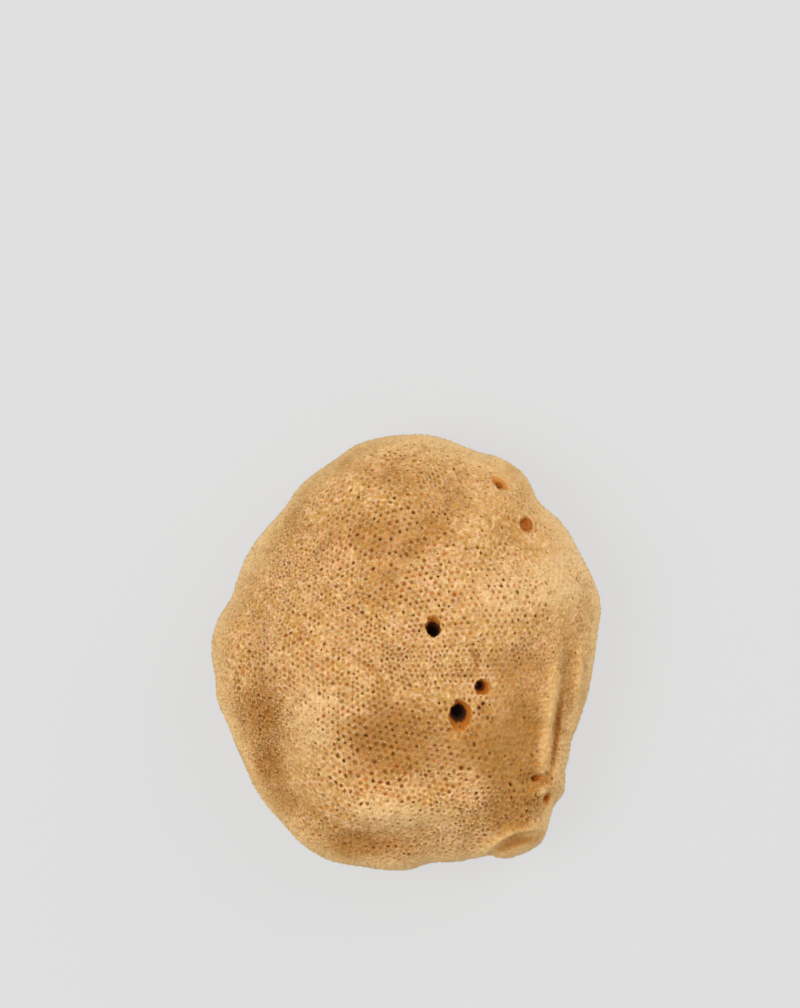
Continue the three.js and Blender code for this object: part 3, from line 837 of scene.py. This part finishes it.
def add_piece(bm, name):
    mesh = bpy.data.meshes.new(name)
    bm.to_mesh(mesh)
    mesh.shade_smooth()
    return add_object(name, mesh)


def set_attribute(mesh, name, values):
    layer = mesh.attributes.get(name) or mesh.attributes.new(name, "FLOAT", "POINT")
    layer.data.foreach_set("value", np.asarray(values, dtype=np.float32))


sponge = add_piece(skin, "sponge_skin")

# %% [markdown]
# ## Where the skin is browner and paler, and where light and shade are painted
# The skin is painted browner in its hollows, partly its own colour and partly painted shade. Its
# crests and its rim are painted paler, partly as painted light. A few creases and small pores are
# painted dark as painted shade. A painted picture could say so, but would have to be wrapped round
# the lump. Each point of the two meshes carries a few numbers instead, worked out from the same form
# as its place, and the paint turns them into colour.

# %% Stretches and creases that the photograph shows
# The rim is painted paler, partly as painted light.
PALE_BAND = (0.87, 0.98)  # shares of the outline between which the colour turns to the rim's
# The hollows are painted browner, partly the skin's own colour and partly painted shade.
FULL_HOLLOW = 3.0  # millimetres of depth that make a hollow fully brown

# Stretches painted browner (above 0) and paler (below 0), partly the skin's own tone and partly painted
# light and shade: (middle), (reach along X and Y), change.
SHADES = [
    ((-6, -16), (12, 7), 0.45),
    ((23, -16), (8, 11), 0.6),
    ((3, 42), (14, 8), 0.35),
    ((42, 22), (7, 13), -0.9),
    ((-24, 36), (10, 9), 0.3),
    ((-4, 33), (14, 8), 0.5),
    ((-6, 46), (14, 6), 0.35),
    ((3, 13), (11, 9), 0.55),
    ((3, -17), (8, 8), 0.5),
    ((17, -20), (7, 5), 0.4),
    ((31, -30), (7, 7), 0.3),
    ((-41, -8), (6, 14), -0.5),
    ((-41, 30), (8, 13), -1.2),
    ((26, 17), (9, 7), -0.5),
    ((-26, -16), (6, 12), -0.35),
    ((3, -44), (9, 5), -0.4),
    ((-24, -44), (9, 6), -0.25),
]

# Short creases and small pores painted darker as painted shade, not made deeper: both ends, half width,
# strength.
PAINTED_SHADE_MARKS = [
    ((-10.2, -1.9), (-6.6, -3.7), 0.5, 1),
    ((-14, -16.2), (-10.2, -15.6), 0.6, 1),
    ((-13.5, 0.5), (-11.5, -1.0), 0.4, 1),
    ((1.0, -10.5), (4.0, -12.5), 0.4, 1),
    ((18.4, -12.9), (18.5, -12.7), 0.65, 2.4),
    ((19.3, -11.9), (19.4, -11.7), 0.55, 2.4),
    ((13.4, -17.3), (13.6, -17.7), 0.45, 2),
    ((13.1, -18.8), (13.2, -19.2), 0.4, 2),
]
# The last two folds' creases are painted darker too, as painted shade.
SEAMS = FOLDS[-2:]
SEAM_WIDTH = 0.7  # of the fold that it runs along

# %% Give every point what the colours need to know
def seam_share(x, y):
    """Painted shade of the creases and small pores: 1 on the seams and wrinkles of the middle, up to 2
    on the darkest, 0 away from them.
    """
    share = sum(-fold_rise(x, y, reach * SEAM_WIDTH, path) for reach, path in SEAMS)
    for start, end, reach, strength in PAINTED_SHADE_MARKS:
        share += fold_rise(x, y, reach, [(*start, strength), (*end, strength)])
    return np.clip(share, 0, 2)


def set_place_attributes(mesh, points):
    """Writes what the colours need to know about each point's place on the lump."""
    x, y, z = points.T
    set_attribute(mesh, "rim", rim_band(x, y, z, PALE_BAND))
    on_top = smooth_step(z, RELIEF_GONE_AT, RELIEF_FADES_FROM)
    # Browner in the hollows: partly the skin's own colour, partly painted shade.
    hollow = -relief(x, y, z) / FULL_HOLLOW
    for middle, reach, change in SHADES:
        hollow += on_top * change * bell(x, y, middle, reach)
    set_attribute(mesh, "hollow", hollow)
    # Paler on the folds' lips and browner in the creases between them: painted light and painted shade.
    folds = sum(fold_rise(x, y, reach, path) for reach, path in FOLDS[:CALM_FOLDS])
    set_attribute(mesh, "fold", folds * on_top)
    # Painted shade along the seams, creases and small pores.
    set_attribute(mesh, "seam", seam_share(x, y) * on_top)


set_place_attributes(sponge.data, read_points(skin) / MM - np.array(BODY_SHIFT))

fibre_mesh = bpy.data.meshes.new("sponge_fibres")
fibre_mesh.from_pydata((fibre_points + BODY_SHIFT) * MM, [], fibre_faces)
fibre_mesh.shade_smooth()
set_attribute(fibre_mesh, "pale", pale)
set_place_attributes(fibre_mesh, fibre_points)
fibres = add_object("sponge_fibres", fibre_mesh)

# %% [markdown]
# ## Colour by expressions
# A material is a sum: this colour, more of that one where it is deep, a little of another by chance.
# Wiring such sums by hand takes pages. A small class wraps each value of the material instead, so
# that adding or multiplying two of them adds the node that does so.

# %% A class that writes shader maths as Python
FIRST_COLOUR, SECOND_COLOUR, MIXED_COLOUR = 6, 7, 2  # sockets of the mix node


class Wire:
    """One number in a material that changes over the surface."""

    def __init__(self, paint, socket):
        self.paint, self.socket = paint, socket

    def _math(self, operation, first, second):
        made = self.paint.node("ShaderNodeMath", {"operation": operation}, {0: first, 1: second})
        return Wire(self.paint, made.outputs[0])

    def __add__(self, other):
        return self._math("ADD", self, other)

    def __mul__(self, other):
        return self._math("MULTIPLY", self, other)

    def __sub__(self, other):
        return self._math("SUBTRACT", self, other)

    def __rsub__(self, other):
        return self._math("SUBTRACT", other, self)

    def between(self, low, high):
        """0 below low, 1 above high, and smooth in between."""
        made = self.paint.node(
            "ShaderNodeMapRange", {"interpolation_type": "SMOOTHSTEP"},
            {"Value": self, "From Min": low, "From Max": high})
        return Wire(self.paint, made.outputs[0])


class Paint:
    """A material. node makes any node, and mix blends two colours."""

    def __init__(self, name):
        self.material = bpy.data.materials.new(name)
        self.material.use_nodes = True
        self.tree = self.material.node_tree
        self.shader = self.tree.nodes["Principled BSDF"]

    def node(self, kind, settings, inputs):
        made = self.tree.nodes.new(kind)
        for name, value in settings.items():
            setattr(made, name, value)
        for name, value in inputs.items():
            self.feed(made.inputs[name], value)
        return made

    def feed(self, socket, value):
        if isinstance(value, Wire):
            value = value.socket
        if isinstance(value, bpy.types.NodeSocket):
            self.tree.links.new(value, socket)
        else:
            socket.default_value = value

    def attribute(self, name):
        made = self.node("ShaderNodeAttribute", {"attribute_name": name}, {})
        return Wire(self, made.outputs["Fac"])

    def noise(self, size, detail=2.0, roughness=0.5):
        """Soft random values from 0 to 1, in lumps about size millimetres across."""
        place = self.node("ShaderNodeTexCoord", {}, {}).outputs["Object"]
        made = self.node(
            "ShaderNodeTexNoise", {},
            {"Vector": place, "Scale": 1 / (size * MM), "Detail": detail, "Roughness": roughness})
        return Wire(self, made.outputs["Fac"])

    def mix(self, factor, first, second):
        made = self.node(
            "ShaderNodeMix", {"data_type": "RGBA", "clamp_factor": True},
            {"Factor": factor, FIRST_COLOUR: first, SECOND_COLOUR: second})
        return made.outputs[MIXED_COLOUR]

    def layered(self, base, layers):
        """Lays colours over the base one after another, each with its share."""
        for share, layer in layers:
            base = self.mix(share, base, layer)
        return base

    def set(self, **values):
        for name, value in values.items():
            self.feed(self.shader.inputs[name.replace("_", " ")], value)

    def finish_matt(self, base, roughness, scatter):
        """Gives the colour a matt finish. Light enters it about as far as scatter, in millimetres."""
        self.set(Base_Color=base, Roughness=roughness, Specular_IOR_Level=0.25)
        self.set(Subsurface_Weight=0.15, Subsurface_Radius=(1.0, 0.5, 0.2))
        self.set(Subsurface_Scale=scatter * MM)
        return self.material


def colour(red, green, blue):
    """A colour on a screen's scale, from 0 to 255, turned into the light that it stands for."""
    def linear(value):
        value /= 255
        return value / 12.92 if value <= 0.04045 else ((value + 0.055) / 1.055) ** 2.4
    return (linear(red), linear(green), linear(blue), 1.0)


# %% [markdown]
# ## The fibre's finish
# Dry sponge fibre is matt and a little see-through, and its walls are honey-tan. Its tips are painted
# paler, partly as painted highlight. Its pits are painted orange-brown and deep canals nearly black,
# darker the deeper they go, as painted shade. Light that enters one wall leaves the next, which a
# little subsurface scattering gives. Some spots of the skin are pinker, and its smooth rim is painted
# paler, partly as painted light.

# %% Paint the sponge
def spots_of(paint):
    """How pink, how patchy and how brown each place is, the same for the skin and for the tips. The
    brown is partly the skin's own colour and partly painted shade in the hollows.
    """
    pink = paint.noise(2.2, detail=2.0).between(0.42, 0.62)
    patch = paint.noise(9.0, detail=3.0)
    brown = (paint.attribute("hollow") + (patch - 0.5)).between(0.0, 0.9) * 0.7
    return pink, patch, brown


def make_fibre_paint():
    paint = Paint("sponge_fibre")
    lift, canal, tint = (paint.attribute(name) for name in ("lift", "canal", "tint"))
    rim, fold, seam = (paint.attribute(name) for name in ("rim", "fold", "seam"))
    cluster = paint.noise(1.3, detail=1.5)
    grain = paint.noise(0.6, detail=3.0, roughness=0.6)
    pink, patch, brown = spots_of(paint)
    # Raised stretches are painted paler: painted light.
    raised_painted_light = (0 - paint.attribute("hollow")).between(0.2, 1.0)
    # How deep a place lies in its dimple or pore. Down the pits it sets painted shade, and on the walls'
    # highest corners a painted highlight.
    deep = (grain - 0.5) * 0.5 - lift
    redder = tint.between(0.1, 0.9)

    tips = paint.mix(pink, colour(243, 206, 150), colour(243, 200, 156))
    crests = paint.layered(paint.mix(pink, colour(222, 174, 106), colour(224, 170, 112)), [
        (patch.between(0.4, 0.62), colour(208, 158, 84)),
        (grain.between(0.45, 0.65) * 0.6, colour(192, 140, 70)),
        # Paler along the rim, partly painted light.
        (rim, colour(237, 197, 137)),
    ])
    # Painted highlight: the walls' highest corners take the pale tips' colour.
    skin_colour = paint.layered(paint.mix(deep.between(-0.35, 0.05), tips, crests), [
        (cluster.between(0.50, 0.62) * (1 - rim) * 0.65, tips),
        # Painted shade in the hollows, partly the skin's own browner tone.
        (brown, colour(176, 118, 42)),
        # Painted light on the raised stretches.
        (raised_painted_light * 0.5, colour(242, 208, 154)),
        # Painted shade down the dimples and pores, darker the deeper they go.
        (deep.between(0.08, 0.55) * 0.85, paint.mix(redder, colour(156, 110, 42), colour(198, 122, 58))),
        (deep.between(0.42, 0.9), paint.mix(redder, colour(128, 82, 30), colour(160, 84, 32))),
        (deep.between(0.8, 1.2), colour(104, 64, 28)),
        # Painted light on the folds' lips and painted shade in the creases between them.
        (fold.between(0.2, 1.8) * 0.65, colour(222, 180, 112)),
        ((0 - fold).between(0.6, 2.8) * 0.7, colour(170, 110, 48)),
        # Painted shade down the canals, orange near the mouth and nearly black at the end, in
        # millimetres.
        (canal.between(0.0, 0.4), colour(208, 146, 74)),
        (canal.between(0.3, 1.4), colour(188, 108, 24)),
        (canal.between(2.8, 5.4), colour(88, 48, 22)),
        (canal.between(4.5, 10.0), colour(70, 42, 28)),
        # Painted shade on the seams, creases and small pores.
        (seam.between(0.0, 0.9) * 0.7, colour(182, 120, 54)),
        (seam.between(1.0, 1.9), colour(66, 36, 16)),
    ])

    bump = paint.node(
        "ShaderNodeBump", {},
        {"Strength": 0.5, "Distance": 0.18 * MM, "Height": paint.noise(0.32, detail=3.0)})
    paint.set(Normal=bump.outputs["Normal"])
    return paint.finish_matt(skin_colour, roughness=0.92, scatter=0.6)


def make_tip_paint():
    paint = Paint("sponge_tips")
    seam = paint.attribute("seam")
    pink, _, brown = spots_of(paint)
    # The fibres' roots are browner with the hollows' painted shade.
    roots = paint.mix(brown, colour(210, 162, 92), colour(174, 116, 42))
    # The fibres' tips are painted paler than their roots, partly as painted highlight.
    tips = paint.layered(paint.mix(pink, colour(248, 214, 158), colour(248, 208, 162)), [
        # Paler along the rim, partly painted light.
        (paint.attribute("rim"), colour(240, 202, 143)),
        # Painted shade in the hollows, over the fibres too.
        (brown, colour(204, 150, 74)),
        # Painted shade in the creases between the folds.
        ((0 - paint.attribute("fold")).between(0.6, 2.8) * 0.7, colour(190, 132, 62)),
        # Painted shade on the seams, creases and small pores, over the fibres too.
        (seam * 0.7, colour(196, 138, 74)),
    ])
    tip_colour = paint.mix(paint.attribute("pale").between(0.0, 0.9), roots, tips)
    # Darkest painted shade on the small pores and the deepest creases.
    tip_colour = paint.mix(seam.between(1.0, 1.9), tip_colour, colour(84, 46, 20))
    return paint.finish_matt(tip_colour, roughness=0.9, scatter=0.4)


sponge.data.materials.append(make_fibre_paint())
fibres.data.materials.append(make_tip_paint())

# %% [markdown]
# ## The studio
# The photograph's ground is one even pale grey with no shadow, as on a light table. So the floor
# glows by itself and takes only a faint shadow. One wide light from the left, a second from the upper
# right and an even glow all round give the soft modelling.

# %% Lay the floor and hang the lights
FLOOR_SIZE = 6.0  # metres
FLOOR_GREY = 0.727
FLOOR_GLOW = 0.85  # the share of the floor's brightness that is its own
AIR_COLOUR = (1.0, 0.99, 0.97, 1.0)
AIR_GLOW = 0.5


def make_floor():
    bm = bmesh.new()
    bmesh.ops.create_grid(bm, x_segments=1, y_segments=1, size=FLOOR_SIZE / 2)
    floor = add_piece(bm, "floor")
    paint = Paint("light_table")
    lit_grey = FLOOR_GREY * (1 - FLOOR_GLOW)
    paint.set(Base_Color=(lit_grey, lit_grey, lit_grey, 1.0), Roughness=1.0, Specular_IOR_Level=0.0)
    paint.set(Emission_Color=(FLOOR_GREY, FLOOR_GREY, FLOOR_GREY, 1.0), Emission_Strength=FLOOR_GLOW)
    floor.data.materials.append(paint.material)
    return floor


def add_soft_light(name, towards_light, size, power, distance=1.4):
    """A round, wide light that looks at the sponge from a direction, in metres and watts."""
    light = bpy.data.lights.new(name, "AREA")
    light.shape = "DISK"
    light.size = size
    light.energy = power
    lamp = add_object(name, light)
    lamp.location = Vector(towards_light).normalized() * distance
    lamp.rotation_euler = Vector(towards_light).to_track_quat("Z", "Y").to_euler()


floor = make_floor()
floor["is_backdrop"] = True
add_soft_light("key", (-0.55, -0.05, 1.0), size=0.9, power=10.2)
add_soft_light("fill", (0.7, 0.6, 0.8), size=1.2, power=8.0)
world = bpy.data.worlds.new("studio")
world.use_nodes = True
air = world.node_tree.nodes["Background"]
air.inputs["Color"].default_value = AIR_COLOUR
air.inputs["Strength"].default_value = AIR_GLOW
bpy.context.scene.world = world
bpy.context.scene.view_settings.view_transform = "Standard"

# %% [markdown]
# ## Handing over
# The imported solid is what the sponge weighs and collides with, and the two meshes are what is seen of
# it. Both ride on its only body, and together they stand in its place. Both boxes are gathered, and
# the visual one is printed. The two boxes are kept, to show that the visual sponge is no bigger than
# the solid by more than its fibres.

# %% Hand the sponge to the frame
for piece in (sponge, fibres):
    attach(piece, "root")
    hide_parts("sponge")

# %% Gather both boxes and print the visual one
boxes = {"solid": [list(corner) for corner in solid_box],
         "visual": [list(corner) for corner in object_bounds()]}
print("visual box in mm:", [[round(value / MM, 1) for value in corner] for corner in boxes["visual"]])
